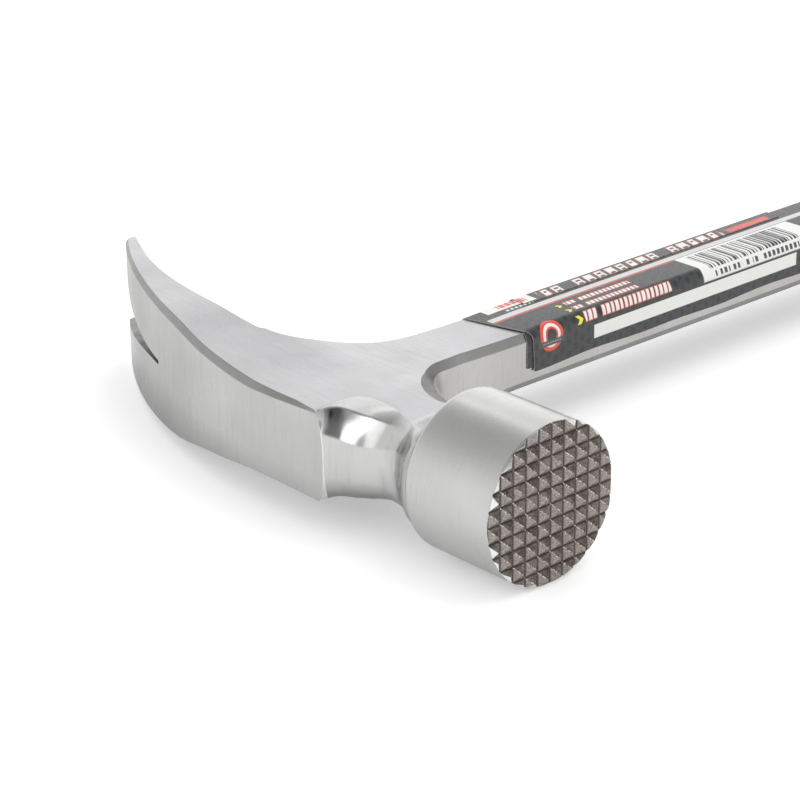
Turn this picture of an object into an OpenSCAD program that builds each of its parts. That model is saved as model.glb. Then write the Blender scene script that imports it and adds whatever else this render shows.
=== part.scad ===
// Framing hammer, forged in one piece from claw tips to tang, lying on its cheek.
// Lengths are millimetres. The head runs along X with the striking face at +X,
// the handle runs along +Y, and Z crosses the cheeks.

/* [Head] */
// Handle axis to the rim of the striking face
face_reach = 62.9; // [50:0.1:72]
// Handle axis to the claw tips
claw_reach = 84; // [74:0.5:98]
// Head axis up to the flat crown of the head
crown_rise = 17.6; // [16.8:0.1:20]
// Half of the head's thickness at the cheeks
cheek_half = 9.6; // [8.6:0.1:10.6]
// Bevel along the crown's two edges
crown_bevel = 1.2; // [0.6:0.1:2]

/* [Poll] */
// Radius of the round poll behind the face
poll_r = 16.5; // [15.6:0.1:18]
// Length of the round poll
poll_len = 24.7; // [20:0.1:26]
// Chamfer round the striking face
face_chamfer = 0.9; // [0.5:0.1:1.5]
// Chamfer round the back of the poll
poll_chamfer = 1.1; // [0.6:0.1:1.6]
// Spacing of the milled grooves
tooth_pitch = 3.3; // [2.6:0.1:4]
// Depth of the milled grooves
tooth_depth = 1.25; // [0.8:0.05:1.6]
// Width of the small land left on each tooth
tooth_land = 0.5; // [0.3:0.1:0.9]

/* [Neck] */
// Handle axis to the crown's front edge, where the neck is scooped away
ridge_x = 14.4; // [13.4:0.1:16]
// Handle axis to the thinnest part of the neck
waist_x = 27.5; // [25:0.1:30]
// Half of the waist's depth along the handle
waist_y = 11.5; // [10:0.1:13]
// Half of the waist's thickness at the foot of its scoop
waist_z = 8.1; // [7.4:0.1:8.4]
// Half of the flat facet on the side of the waist
waist_flat = 3.2; // [2:0.1:4.5]

/* [Claws] */
// Half of the claws' spread at their widest
claw_half = 14.1; // [12:0.1:15.5]
// Half of the claws' spread at the tips
tip_half = 12.8; // [11:0.1:13.4]
// Radius of the long curve over the crown and claws
claw_back_r = 135; // [125:1:160]
// Radius of the curve under the claws
claw_under_r = 90; // [84:1:110]
// Handle axis to the lowest point under the claws
claw_low_x = 35; // [30:0.5:40]
// Handle axis to the end of the cheeks' flare
flare_x = 36; // [30:0.5:42]
// Half opening of the nail slot at the tips
slot_half = 6.6; // [5:0.1:8]
// Handle axis to the root of the nail slot
slot_root = 45; // [40:0.5:52]
// Radius at the root of the nail slot
slot_root_r = 0.5; // [0.4:0.1:0.8]

/* [Shank] */
// Half of the shank's width along the head
shank_x = 8.4; // [7.6:0.1:9.4]
// Half of the shank's thickness along the label
shank_z = 6.2; // [5.8:0.1:7.2]
// Half of the shank's thickness at the grip
shank_end_z = 5.9; // [5.2:0.1:6.6]
// Corner bevel measured along the head
shank_bevel_x = 1.25; // [0.6:0.05:1.8]
// Corner bevel measured across the cheeks
shank_bevel_z = 1.8; // [1:0.1:2.4]
// Radius where the shank's front meets the neck
front_root_r = 11; // [8:0.5:13]
// Width of the sweep from the claws into the shank
back_root_x = 13.5; // [10:0.5:16]
// Length of the sweep from the claws into the shank
back_root_y = 27; // [22:0.5:32]

/* [Tang] */
// Head axis to the end of the tang
tang_end = 376; // [340:1:400]
// Half of the tang's width
tang_x = 6.5; // [5.5:0.1:7.4]
// Half of the tang's thickness
tang_z = 3.6; // [3:0.1:4.4]
// Radius of the holes that lock the grip on
lock_r = 2.6; // [2:0.1:3.2]
// Number of locking holes
lock_count = 3; // [2:1:4]

/* [Grip] */
// Head axis to the start of the grip
grip_start = 222; // [200:1:240]
// Head axis to the butt of the grip
grip_end = 388; // [360:1:410]
// Half width of the grip at its throat
throat_x = 12.6; // [11.8:0.1:14]
// Half thickness of the grip at its throat
throat_z = 10.4; // [9.8:0.1:12]
// Half width of the grip at its palm swell
palm_x = 16.4; // [15:0.1:18.5]
// Half thickness of the grip at its palm swell
palm_z = 13.2; // [12:0.1:14.5]
// Half width of the grip at the flared butt
butt_x = 18.8; // [17:0.1:21]
// Half thickness of the grip at the flared butt
butt_z = 14.6; // [13:0.1:16]
// Shift of the butt towards the face
butt_hook = 2.4; // [0:0.1:4]
// Number of grooves across the grip
groove_count = 14; // [8:1:16]
// Depth of those grooves
groove_depth = 0.8; // [0.4:0.1:1.2]
// Width of those grooves
groove_w = 2.4; // [1.6:0.1:3.2]
// Wall of the hard core round the tang
core_wall = 2; // [1.6:0.1:2.6]

/* [Label] */
// Head axis to the start of the label
label_start = 45; // [40:1:60]
// Length of the label along the shank
label_len = 122; // [90:1:140]
// Thickness of the card
label_t = 0.4; // [0.3:0.05:0.6]
// Gap between the card and the steel
label_gap = 0.2; // [0.1:0.05:0.4]
// Start of the glue flap after the label's start
flap_inset = 13; // [8:1:20]
// Length of the glue flap along the shank
flap_len = 84; // [60:1:96]
// Width of the glue flap
flap_w = 4.2; // [3:0.1:5]
// Mid plane down to the card's free edge on the front of the shank
card_edge = 2.8; // [2:0.1:3.6]

/* [Hidden] */
// Overrun of every cut past the surface that it opens
over = 1;
// Gap between the moulded grip's layers and the tang
bond_gap = 0.05;
// Steps along the claws, the neck, the root sweep and the slot, and sides round the grip
claw_steps = 14;
neck_steps = 8;
root_steps = 9;
slot_steps = 8;
grip_sides = 32;
// Metal left on each cheek before it is ground flat
grind = 0.3;
// Sleeve's lip past the core at the throat, and the soft wall that closes the butt
throat_lip = 1.5;
butt_wall = 3.5;

// Handle axis to the back of the poll
rear_x = face_reach - poll_len;
// Head axis to the end of the sweep into the shank
root_end = crown_rise * 1.6;
tang_start = grip_start + 2 * core_wall;
core_start = grip_start + throat_lip;
core_end = grip_end - butt_wall;
grip_len = grip_end - grip_start;
// Middle of the whole part along X and Y
mid_x = (face_reach - claw_reach) / 2;
mid_y = (grip_end - crown_rise) / 2;
// Grooves on each side of the face's middle one
tooth_rows = floor((poll_r - face_chamfer) / tooth_pitch);

function mix(a, b, t) = a + (b - a) * t;
function ease(t) = t * t * (3 - 2 * t);
function clamp(t) = min(1, max(0, t));

// Closed skin through flat rings that all have the same number of points.
module skin(rings) {
    n = len(rings[0]);
    m = len(rings);
    points = [for (r = rings) each r];
    walls = [for (i = [0:m - 2], j = [0:n - 1])
        let (a = i * n + j, b = i * n + (j + 1) % n)
        each [[a, b + n, b], [a, a + n, b + n]]];
    first = [for (j = [1:n - 2]) [0, j, j + 1]];
    last = [for (j = [1:n - 2]) [for (k = [0, j + 1, j]) (m - 1) * n + k]];
    polyhedron(points, concat(walls, first, last), convexity = 8);
}

// Moves the head's own axes to the middle of the whole part, lying on its cheek.
module laid_down() {
    translate([-mid_x, -mid_y, poll_r]) children();
}

// Crown of the head and back of the claws: one long arc that starts at the handle.
function crown_y(x) =
    x >= 0 ? -crown_rise : -crown_rise + claw_back_r - sqrt(pow(claw_back_r, 2) - x * x);

// Underside of the claws, which levels out and runs into the shank's root.
function under_y(x) =
    claw_under_r - sqrt(pow(claw_under_r, 2) - pow(x + claw_low_x, 2));

// Half thickness across the cheeks: flat, flared to the claws, drawn in at the tips.
flare_start_share = 0.1;
flare_curve_share = 1.3;
tip_start_share = 0.83;
flare_start = flare_x * flare_start_share;
tip_start = claw_reach * tip_start_share;
function half_z(x) =
    let (
        flare = clamp((-x - flare_start) / (flare_x - flare_start)),
        tip = clamp((-x - tip_start) / (claw_reach - tip_start))
    )
    mix(mix(cheek_half, claw_half, pow(flare, flare_curve_share)), tip_half, tip * tip);

// Half ring from the crown side round to the handle side, mirrored below the mid plane.
function mirrored(x, half) = [
    each [for (p = half) [x, p[0], -p[1]]],
    each [for (i = [len(half) - 1:-1:0]) [x, half[i][0], half[i][1]]]
];

// Ring across the claws and cheeks at x, with extra stock where the cheeks are ground flat.
function block_ring(x, stock) =
    let (
        back = crown_y(x),
        under = under_y(min(x, -back_root_x)),
        w = half_z(x) + stock,
        b = min(crown_bevel, (under - back) / 3)
    )
    mirrored(x, [[back, w - b], [back + b, w], [(back + under) / 2, w], [under - b, w], [under, w - b]]);

// Half sections of the neck from crown side to handle side, as shares of [y, z].
waist_shares = [[-1, 1], [-0.71, 1], [-0.46, 1], [0.56, 0.98], [1, 1]];
ridge_shares = [[-1, 0.49], [-1, 1], [-0.46, 1], [0.48, 0.98], [0.85, 1]];
// Turn from the crown to the first corner of the poll's ten, and half a side more each
first_turn = 18;
side_turn = 36;
end_r = poll_r - 1.5 * poll_chamfer;
waist = [for (k = [0:4]) [
    waist_y * waist_shares[k][0],
    [waist_flat, waist_z, cheek_half, cheek_half, waist_flat][k] * waist_shares[k][1]
]];
ridge = [for (k = [0:4]) [
    [crown_rise, crown_rise - crown_bevel, waist_y, waist_y, waist_y][k] * ridge_shares[k][0],
    [cheek_half, cheek_half, cheek_half, cheek_half, waist_flat][k] * ridge_shares[k][1]
]];
poll_back = [for (k = [0:4]) let (a = first_turn + side_turn * k) [-end_r * cos(a), end_r * sin(a)]];

// Ring across the scooped neck, whose top joins the cheek flush.
function neck_ring(x) =
    let (
        left = x < waist_x,
        s = left ? (waist_x - x) / (waist_x - ridge_x) : (x - waist_x) / (rear_x - waist_x),
        goal = left ? ridge : poll_back,
        y_shares = left ? [s * s, s * sqrt(s), s, s, s] : [s * s, s * s, s * s * s, s * s * s, s * s],
        z_shares = left ? [s, sqrt(s), sqrt(s), s, s] : y_shares
    )
    mirrored(x, [for (k = [0:4]) [
        mix(waist[k][0], goal[k][0], y_shares[k]), mix(waist[k][1], goal[k][1], z_shares[k])
    ]]);

// Claws, cheeks and neck as one skin, from the tips to inside the poll.
module head_skin() {
    claws = [for (i = [0:claw_steps]) block_ring(mix(-claw_reach, -flare_start, i / claw_steps), 0)];
    cheeks = [block_ring(0, grind), block_ring(ridge_x - over, grind), block_ring(ridge_x, 0)];
    neck = [for (i = [0:neck_steps])
        let (x = mix(ridge_x + crown_bevel / 2, rear_x, i / neck_steps)) neck_ring(x)];
    inside = [for (p = neck_ring(rear_x)) [rear_x + 2 * poll_chamfer, p[1], p[2]]];
    skin(concat(claws, cheeks, neck, [inside]));
}

// Round poll with its two chamfers, turned about the head axis.
module poll() {
    rotate([0, 90, 0]) rotate_extrude($fn = 96) polygon([
        [0, rear_x], [poll_r - poll_chamfer, rear_x], [poll_r, rear_x + poll_chamfer],
        [poll_r, face_reach - face_chamfer], [poll_r - face_chamfer, face_reach], [0, face_reach]
    ]);
}

// One vee groove across the face, at y = 0 and along Z.
module face_groove() {
    half = (tooth_pitch - tooth_land) / 2;
    rise = (tooth_depth + over) / tooth_depth;
    linear_extrude(2 * (poll_r + over), center = true) polygon([
        [face_reach - tooth_depth, 0], [face_reach + over, half * rise], [face_reach + over, -half * rise]
    ]);
}

// Crossed vee grooves that leave the milled face's rows of square teeth.
module face_grooves() {
    for (i = [-tooth_rows:tooth_rows]) {
        translate([0, i * tooth_pitch, 0]) face_groove();
        rotate([90, 0, 0]) translate([0, i * tooth_pitch, 0]) face_groove();
    }
}

// Tapered nail slot between the claws, narrow at its round root and flared at the tips.
slot_power_share = 1.7;
module nail_slot() {
    deep = claw_reach - slot_root;
    half = [for (i = [0:slot_steps])
        let (t = i / slot_steps)
        [-slot_root - t * (deep + over), mix(slot_root_r, slot_half, pow(t, slot_power_share))]];
    rotate([90, 0, 0]) linear_extrude(claw_back_r, center = true) {
        polygon(concat(half, [for (i = [slot_steps:-1:0]) [half[i][0], -half[i][1]]]));
        translate([-slot_root, 0]) circle(slot_root_r, $fn = 24);
    }
}

// Ring across the shank at y, as a bevelled oblong from x = back to x = front.
function oblong(y, back, front, t, cx, cz) = [
    [back, y, t - cz], [back + cx, y, t], [front - cx, y, t], [front, y, t - cz],
    [front, y, -t + cz], [front - cx, y, -t], [back + cx, y, -t], [back, y, -t + cz]
];

// Half thickness of the shank at y, thinning past the label to the grip.
label_end = label_start + label_len;
function shank_t(y) = mix(shank_z, shank_end_z, clamp((y - label_end) / (tang_start - label_end)));

// Ring where the head sweeps into the shank; a = 0 at the shank and 90 inside the head.
head_fill_share = 0.98;
front_end_share = 0.56;
front_end = waist_y * front_end_share + front_root_r;
function root_ring(a) =
    let (
        y = root_end - back_root_y * sin(a),
        back = -shank_x - back_root_x * (1 - cos(a)),
        dip = clamp((front_end - y) / front_root_r),
        front = shank_x + front_root_r * (1 - sqrt(1 - dip * dip)),
        t = mix(shank_z, cheek_half * head_fill_share, sin(a))
    )
    oblong(y, back, front, t, shank_bevel_x, shank_bevel_z);

// Rings of the shank's end and the tang, grown all round for the cuts that clear them.
tang_taper = tang_x;
tang_bevel = tang_z / 4;
function shank_rings(grow) = [
    for (y = [grip_start - tang_taper, tang_start])
        oblong(y, -shank_x - grow, shank_x + grow, shank_t(y) + grow, shank_bevel_x, shank_bevel_z),
    for (y = [tang_start + tang_taper, tang_end + grow])
        oblong(y, -tang_x - grow, tang_x + grow, tang_z + grow, tang_bevel, tang_bevel)
];

// Shank and tang with the sweep at the head, as one skin.
module shank_skin() {
    inside = [for (p = root_ring(90)) [p[0] * head_fill_share, p[1] - waist_y, p[2] * head_fill_share]];
    root = [for (i = [root_steps:-1:0]) root_ring(90 * i / root_steps)];
    straight = oblong(label_end, -shank_x, shank_x, shank_z, shank_bevel_x, shank_bevel_z);
    skin(concat([inside], root, [straight], shank_rings(0)));
}

// Places of the holes that lock the moulded core to the tang.
lock_first = tang_start + 4 * tang_x;
lock_last = tang_end - 2 * tang_x;
function lock_y(i) = mix(lock_first, lock_last, i / (lock_count - 1));

module lock_holes(r, half) {
    for (i = [0:lock_count - 1]) {
        translate([0, lock_y(i), 0]) cylinder(h = 2 * half, r = r, center = true, $fn = 32);
    }
}

// Stock taken off each cheek, so that the two flats are true planes.
module cheek_grinds() {
    for (side = [-1, 1]) {
        translate([-flare_start, -crown_rise - over, side > 0 ? cheek_half : -cheek_half - over])
            cube([ridge_x + flare_start, 2 * crown_rise, over]);
    }
}

// One-piece steel forging: claws, head, milled face, shank and hidden tang.
module forging() {
    color([0.72, 0.71, 0.69]) laid_down() difference() {
        union() {
            head_skin();
            poll();
            shank_skin();
        }
        cheek_grinds();
        nail_slot();
        face_grooves();
        lock_holes(lock_r, tang_z + over);
    }
}

// Rings of the hard core's outside, grown for the cut in the sleeve.
function core_rings(grow) =
    let (
        a = shank_x + core_wall + grow,
        t = shank_end_z + core_wall + grow,
        c = core_wall * 1.5,
        tip = core_wall / 2
    )
    [
        oblong(core_start - grow, -a + tip, a - tip, t - tip, c, c),
        oblong(core_start + core_wall, -a, a, t, c, c),
        oblong(core_end - core_wall, -a, a, t, c, c),
        oblong(core_end + grow, -a + tip, a - tip, t - tip, c, c)
    ];

// Hard nylon core moulded over the tang and through its holes.
module grip_core() {
    color([0.16, 0.17, 0.18]) laid_down() {
        difference() {
            skin(core_rings(0));
            skin(shank_rings(bond_gap));
        }
        lock_holes(lock_r - bond_gap, tang_z + over);
    }
}

// Value along the grip, eased between the keys [share of the length, value].
function along(t, keys) =
    let (i = max([for (k = [0:len(keys) - 2]) keys[k][0] <= t ? k : 0]))
    mix(keys[i][1], keys[i + 1][1], ease(clamp((t - keys[i][0]) / (keys[i + 1][0] - keys[i][0]))));

// Places along the grip: throat, collar, throat again, palm, small of the grip, flare, butt.
key_shares = [0, 0.025, 0.07, 0.46, 0.76, 0.94, 1];
small_share = 0.62;
butt_round = 3 * groove_depth;
function keyed(values) = [for (k = [0:len(values) - 1]) [key_shares[k], values[k]]];
function swell(throat, palm, butt) = keyed([
    throat - groove_depth, throat + groove_depth, throat, palm,
    mix(throat, palm, small_share), butt, butt - butt_round
]);
x_keys = swell(throat_x, palm_x, butt_x);
z_keys = swell(throat_z, palm_z, butt_z);
hook_keys = keyed([0, 0, 0, 0, 0, butt_hook, butt_hook]);

// Ring across the grip: a squared-off oval, cut by a groove that fades on its broad sides.
squareness_share = 0.78;
fade_share = 0.5;
function grip_ring(y, cut) =
    let (t = (y - grip_start) / grip_len, a = along(t, x_keys), b = along(t, z_keys))
    [for (k = [grip_sides - 1:-1:0])
        let (
            u = 360 * k / grip_sides,
            c = sign(cos(u)) * pow(abs(cos(u)), squareness_share),
            s = sign(sin(u)) * pow(abs(sin(u)), squareness_share),
            d = cut * groove_depth * pow(abs(cos(u)), fade_share)
        )
        [along(t, hook_keys) + (a - d) * c, y, (b - d) * s]];

// All rings of the grip: the plain collar, the grooves in their field and the butt.
collar_shares = [0, 0.012, 0.025, 0.045, 0.07, 0.12];
field_shares = [0.16, 0.84];
butt_shares = [0.9, 0.94, 0.97, 0.985, 1];
groove_shares = [[-0.5, 0], [-0.2, 1], [0.2, 1], [0.5, 0]];
grip_rings = [
    for (t = collar_shares) grip_ring(grip_start + grip_len * t, 0),
    for (i = [0:groove_count - 1], g = groove_shares)
        let (t = mix(field_shares[0], field_shares[1], i / (groove_count - 1)))
        grip_ring(grip_start + grip_len * t + g[0] * groove_w, g[1]),
    for (t = butt_shares) grip_ring(grip_start + grip_len * t, 0)
];

// Soft outer grip, moulded over the core with a closed, rounded butt.
module grip_sleeve() {
    color([0.06, 0.06, 0.065]) laid_down() difference() {
        skin(grip_rings);
        skin(core_rings(bond_gap));
        skin(shank_rings(bond_gap));
    }
}

// Corners of the card round the shank, from the front's lower edge over the top and under.
function card_path(grow) =
    let (a = shank_x + label_gap + grow, t = shank_z + label_gap + grow,
        cx = shank_bevel_x, cz = shank_bevel_z)
    [
        [a, -card_edge], [a, t - cz], [a - cx, t], [-a + cx, t], [-a, t - cz],
        [-a, -t + cz], [-a + cx, -t], [a - 2 * cx, -t]
    ];

// Flap that closes the card over the far corner of its top.
function flap_path(grow) =
    let (a = shank_x + label_gap + grow, t = shank_z + label_gap + grow,
        cx = shank_bevel_x, cz = shank_bevel_z)
    [[-a + cx + flap_w, t], [-a + cx, t], [-a, t - cz], [-a, t - cz - flap_w]];

module card(inner, outer, start, length) {
    translate([0, start + length, 0]) rotate([90, 0, 0]) linear_extrude(length)
        polygon(concat(inner, [for (i = [len(outer) - 1:-1:0]) outer[i]]));
}

// Printed card label wrapped round the shank, with its glue flap.
module label() {
    color([0.13, 0.13, 0.14]) laid_down() {
        card(card_path(0), card_path(label_t), label_start, label_len);
        card(flap_path(label_t), flap_path(2 * label_t), label_start + flap_inset, flap_len);
    }
}

forging();
grip_core();
grip_sleeve();
label();
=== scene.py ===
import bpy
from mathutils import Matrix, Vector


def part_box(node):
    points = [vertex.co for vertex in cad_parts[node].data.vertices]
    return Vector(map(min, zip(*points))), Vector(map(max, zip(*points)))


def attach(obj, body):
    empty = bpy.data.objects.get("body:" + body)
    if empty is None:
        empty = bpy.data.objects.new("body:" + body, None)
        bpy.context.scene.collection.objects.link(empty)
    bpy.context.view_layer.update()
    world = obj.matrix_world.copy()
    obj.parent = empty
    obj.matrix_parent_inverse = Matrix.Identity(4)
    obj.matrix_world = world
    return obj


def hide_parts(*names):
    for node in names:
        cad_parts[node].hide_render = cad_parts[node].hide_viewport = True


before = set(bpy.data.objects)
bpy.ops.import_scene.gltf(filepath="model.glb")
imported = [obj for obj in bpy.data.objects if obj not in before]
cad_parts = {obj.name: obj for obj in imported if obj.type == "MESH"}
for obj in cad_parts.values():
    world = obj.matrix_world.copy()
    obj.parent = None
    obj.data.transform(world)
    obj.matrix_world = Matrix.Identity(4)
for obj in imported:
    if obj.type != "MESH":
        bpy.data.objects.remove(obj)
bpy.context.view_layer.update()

import bpy
import bmesh
from math import cos, pi, radians, sin, sqrt
from mathutils import Matrix, Vector

# ---- Camera -------------------------------------------------------------
# The photograph looks down on the head from the crown side at 23 degrees,
# from near by, so that the poll stands large and the handle runs away.

EYE, HEADING, LOOKS_DOWN, ROLL = (0.3944, -0.5147, 0.2310), 47.83, 22.78, -0.57

lens = bpy.data.cameras.new("camera")
lens.lens = 122
lens.sensor_width = 36
lens.clip_start = 0.01
camera = bpy.data.objects.new("camera", lens)
bpy.context.scene.collection.objects.link(camera)
turn = Matrix.Rotation(radians(HEADING), 4, "Z") @ Matrix.Rotation(radians(90 - LOOKS_DOWN), 4, "X")
camera.matrix_world = Matrix.Translation(EYE) @ turn @ Matrix.Rotation(radians(ROLL), 4, "Z")
bpy.context.scene.camera = camera


# ---- Forging ------------------------------------------------------------
# Claws, cheeks, neck, shank and tang are one drop forging, ground on the cheeks,
# scooped and mirror polished at the neck, and belt brushed along the shank.
# Its skin is laid in plan as strips, and its lower half mirrors the upper one.

low, high = (Vector(v) * 1000 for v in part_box("forging"))
FACE_REACH, CROWN, POLL_R = 62.9, 17.6, 16.5
ORIGIN = Vector((high.x - FACE_REACH, low.y + CROWN, low.z + POLL_R))

# along the head: claw tips, where they blunt, root of the nail slot, the shank root's two
# ends with the neck's ridge between them, where the neck flares, and the poll's round back
CLAW_TIP, BLUNT, SLOT_ROOT, ROOT_BACK = -84, -82.4, -45, -21.9
RIDGE, ROOT_FRONT, FLARE, REAR, REAR_R = 14.4, 19.4, 31.6, 38.4, 15.35
CHEEK, CROWN_SWEEP, BACK_SWEEP = 9.6, 135, 90


def at(x, y, z):
    """A point on the head's own axes, in millimetres, as a place in the frame."""
    return (Vector((x, y, z)) + ORIGIN) / 1000


def sockets(name, **sizes):
    """A Geometry Nodes tree with its named inputs, and the node that gives them."""
    tree = bpy.data.node_groups.new(name, "GeometryNodeTree")
    tree.interface.new_socket("Geometry", in_out="OUTPUT", socket_type="NodeSocketGeometry")
    for label, value in sizes.items():
        kind = "NodeSocketInt" if isinstance(value, int) else "NodeSocketFloat"
        tree.interface.new_socket(label, in_out="INPUT", socket_type=kind)
    return tree, tree.nodes.new("NodeGroupInput").outputs


def add(tree, kind, *values, **settings):
    """A node with its inputs linked or set in order; gives its first output."""
    n = tree.nodes.new(kind)
    for key, value in settings.items():
        setattr(n, key, value)
    for i, value in enumerate(values):
        if isinstance(value, bpy.types.NodeSocket):
            tree.links.new(value, n.inputs[i])
        elif value is not None:
            n.inputs[i].default_value = value
    return n.outputs[0]


def calc(tree, operation, a, b=None):
    return add(tree, "ShaderNodeMath", a, b, operation=operation)


def grown(tree, name, **sizes):
    """The plain mesh that a Geometry Nodes tree makes from its sizes, as an object."""
    piece = bpy.data.objects.new(name, bpy.data.meshes.new(name))
    bpy.context.scene.collection.objects.link(piece)
    modifier = piece.modifiers.new("grow", "NODES")
    modifier.node_group = tree
    for item in tree.interface.items_tree:
        if item.in_out == "INPUT":
            modifier[item.identifier] = sizes[item.name]
    piece.update_tag()
    made = piece.evaluated_get(bpy.context.evaluated_depsgraph_get())
    mesh = bpy.data.meshes.new_from_object(made)
    piece.modifiers.clear()
    piece.data = mesh
    return piece


def shader(name, **settings):
    """A new material, its tree, its Object coordinates and its surface, set by input name."""
    material = bpy.data.materials.new(name)
    material.use_nodes = True
    tree = material.node_tree
    surface = tree.nodes["Principled BSDF"]
    for key, value in settings.items():
        surface.inputs[key.replace("_", " ")].default_value = value
    place = tree.nodes.new("ShaderNodeTexCoord").outputs["Object"]
    return material, tree, place, surface


def noise(tree, place, scale, detail=2.0, stretch=None):
    """Noise at so many grains to the metre, drawn out along an axis where asked."""
    if stretch:
        place = add(tree, "ShaderNodeMapping", place, None, None, stretch)
    return add(tree, "ShaderNodeTexNoise", place, None, scale, detail)


def ramp(tree, value, a, b, lo=0.0, hi=1.0):
    return add(tree, "ShaderNodeMapRange", value, a, b, lo, hi)


def blend(tree, share, a, b):
    """Colour a turning into colour b; either may be a socket."""
    n = tree.nodes.new("ShaderNodeMix")
    n.data_type = "RGBA"
    for socket, value in zip((n.inputs[0], n.inputs[6], n.inputs[7]), (share, a, b)):
        if isinstance(value, bpy.types.NodeSocket):
            tree.links.new(value, socket)
        else:
            socket.default_value = (*value, 1) if isinstance(value, tuple) else value
    return n.outputs[2]


def steel(name, colour, rough, grain, relief, scratch=0.5, edge=0.00025, painted_shade_spot=None, low=None):
    """Ground steel: grain along one axis, faint smears of the wheel, and edges rounded by it.

    It may carry painted shade round a place (centre, near, far, share) and painted shade low down
    (full, none, share).
    """
    material, tree, place, surface = shader(name, Metallic=1.0)
    fine = noise(tree, place, 1.0, 3, grain)
    cloud = noise(tree, place, 55, 3)
    # tones for the wheel's smears, its scratches, and the painted shade
    smeared, scratched, painted_shade_tone = (tuple(c * share for c in colour) for share in (0.9, 0.75, 0.3))
    tone = blend(tree, ramp(tree, cloud, 0.35, 0.7), colour, smeared)
    tone = blend(tree, ramp(tree, fine, 0.55, 0.8, 0.0, scratch), tone, scratched)
    # painted shade: darker round a place
    if painted_shade_spot:
        centre, near, far, share = painted_shade_spot
        away = add(tree, "ShaderNodeVectorMath", place, tuple(centre), operation="DISTANCE")
        away = away.node.outputs["Value"]
        tone = blend(tree, ramp(tree, away, near, far, share, 0.0), tone, painted_shade_tone)
    # painted shade: darker towards the bottom
    if low:
        height = add(tree, "ShaderNodeSeparateXYZ", place).node.outputs["Z"]
        tone = blend(tree, ramp(tree, height, *low, 0.0), tone, painted_shade_tone)
    tree.links.new(tone, surface.inputs["Base Color"])
    streak = calc(tree, "MULTIPLY", calc(tree, "SUBTRACT", fine, 0.5), rough * 0.7)
    smear = ramp(tree, cloud, 0.3, 0.7, rough * 0.85, rough * 1.15)
    tree.links.new(calc(tree, "ADD", smear, streak), surface.inputs["Roughness"])
    round_edge = add(tree, "ShaderNodeBevel", edge, samples=6)
    bump = add(tree, "ShaderNodeBump", 1.0, relief, None, fine, round_edge)
    tree.links.new(bump, surface.inputs["Normal"])
    return material


def curve(*keys):
    """A smooth curve through the keys that never overshoots them."""
    xs, ys = [k[0] for k in keys], [k[1] for k in keys]
    d = [(ys[i + 1] - ys[i]) / (xs[i + 1] - xs[i]) for i in range(len(xs) - 1)]
    m = [d[0]] + [0 if a * b <= 0 else 2 * a * b / (a + b) for a, b in zip(d, d[1:])] + [d[-1]]

    def f(x):
        if x <= xs[0]:
            return ys[0]
        if x >= xs[-1]:
            return ys[-1]
        i = max(k for k in range(len(xs) - 1) if xs[k] <= x)
        h = xs[i + 1] - xs[i]
        t = (x - xs[i]) / h
        return (
            ys[i] * (1 + 2 * t) * (1 - t) ** 2 + m[i] * h * t * (1 - t) ** 2
            + ys[i + 1] * t * t * (3 - 2 * t) + m[i + 1] * h * t * t * (t - 1)
        )

    return f


def mix(a, b, t):
    return a + (b - a) * t


def clamp(t):
    return max(0.0, min(1.0, t))


def smooth(t):
    return t * t * (3 - 2 * t)


def crown(x):
    """The head's outer edge in plan: straight by the poll, then a long sweep over the claws."""
    return -CROWN if x >= 0 else -CROWN + CROWN_SWEEP - sqrt(CROWN_SWEEP ** 2 - x * x)


def under(x):
    """The claws' inner edge in plan."""
    return BACK_SWEEP - sqrt(BACK_SWEEP ** 2 - (x + 35) ** 2)


# half of the head's thickness: widest across the claws, thinnest at the cheek
spread = curve(
    (CLAW_TIP, 12.9), (-80, 13.55), (-74, 14.02), (-65, 14.25), (-57, 14.22), (-50, 14.1),
    (-42, 13.9), (-38, 13.72), (-34, 13.4), (-30, 12.8), (-25, 11.95), (-20, 11.3),
    (-15, 10.8), (-10, 10.3), (-4, 9.8), (2, CHEEK),
)


def half_z(x):
    """Half of the head's thickness, with the tips' outer corners rounded."""
    t = clamp((BLUNT - x) / (BLUNT - CLAW_TIP))
    return spread(x) - 0.5 * (1 - sqrt(1 - t * t))


def slot(x):
    """Half of the nail slot, from its round root to the tips."""
    d = SLOT_ROOT - x
    if d <= 0:
        return 0
    root = sqrt(clamp(2 * d - d * d)) if d < 1 else 1
    return 0.5 * root + 6.1 * (d / (SLOT_ROOT - CLAW_TIP)) ** 1.71


# how far the crown's bevel comes down from the cheek
bevel_drop = curve(
    (CLAW_TIP, 0.6), (-60, 0.8), (-48, 1.0), (-38, 1.3), (-20, 1.4), (-9, 1.5), (0, 1.15),
    (8, 0.8), (RIDGE, 0.5),
)

# the neck's lines from ridge to poll: the cheek's edge, the upper and the lower corner
# between its facets, and the mid plane
cheek_y = curve(
    (RIDGE, -16.9), (14.46, -12), (14.6, -8.3), (15.3, -6.4), (17.2, -5.4), (20, -5.1),
    (23.8, -5.3), (27.6, -6.3), (32.4, -8.2), (REAR, -9.6),
)
upper_y = curve(
    (RIDGE, -16.6), (14.8, -14.2), (16, -12.5), (18.5, -11.7), (20.8, -11.0), (23, -10.3),
    (25, -9.6), (28, -8.8), (32.6, -9.4), (REAR, -12.4),
)
upper_z = curve(
    (RIDGE, 9.45), (16, 9.4), (18.5, 9.25), (20.8, 8.9), (23, 8.65), (25, 8.3),
    (28, 8.0), (32.6, 8.1), (REAR, 9.05),
)
lower_y = curve(
    (RIDGE, -17.55), (16, -16.6), (18, -15.4), (20, -14.8), (22, -14.1), (24, -13.1),
    (27.2, -11.75), (30.8, -11.6), (REAR, -14.6),
)
lower_z = curve(
    (RIDGE, 5.2), (16, 4.8), (18, 4.2), (20, 3.85), (22, 3.5), (24, 3.25),
    (27.2, 3.5), (30.8, 4.2), (REAR, 4.75),
)
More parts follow.
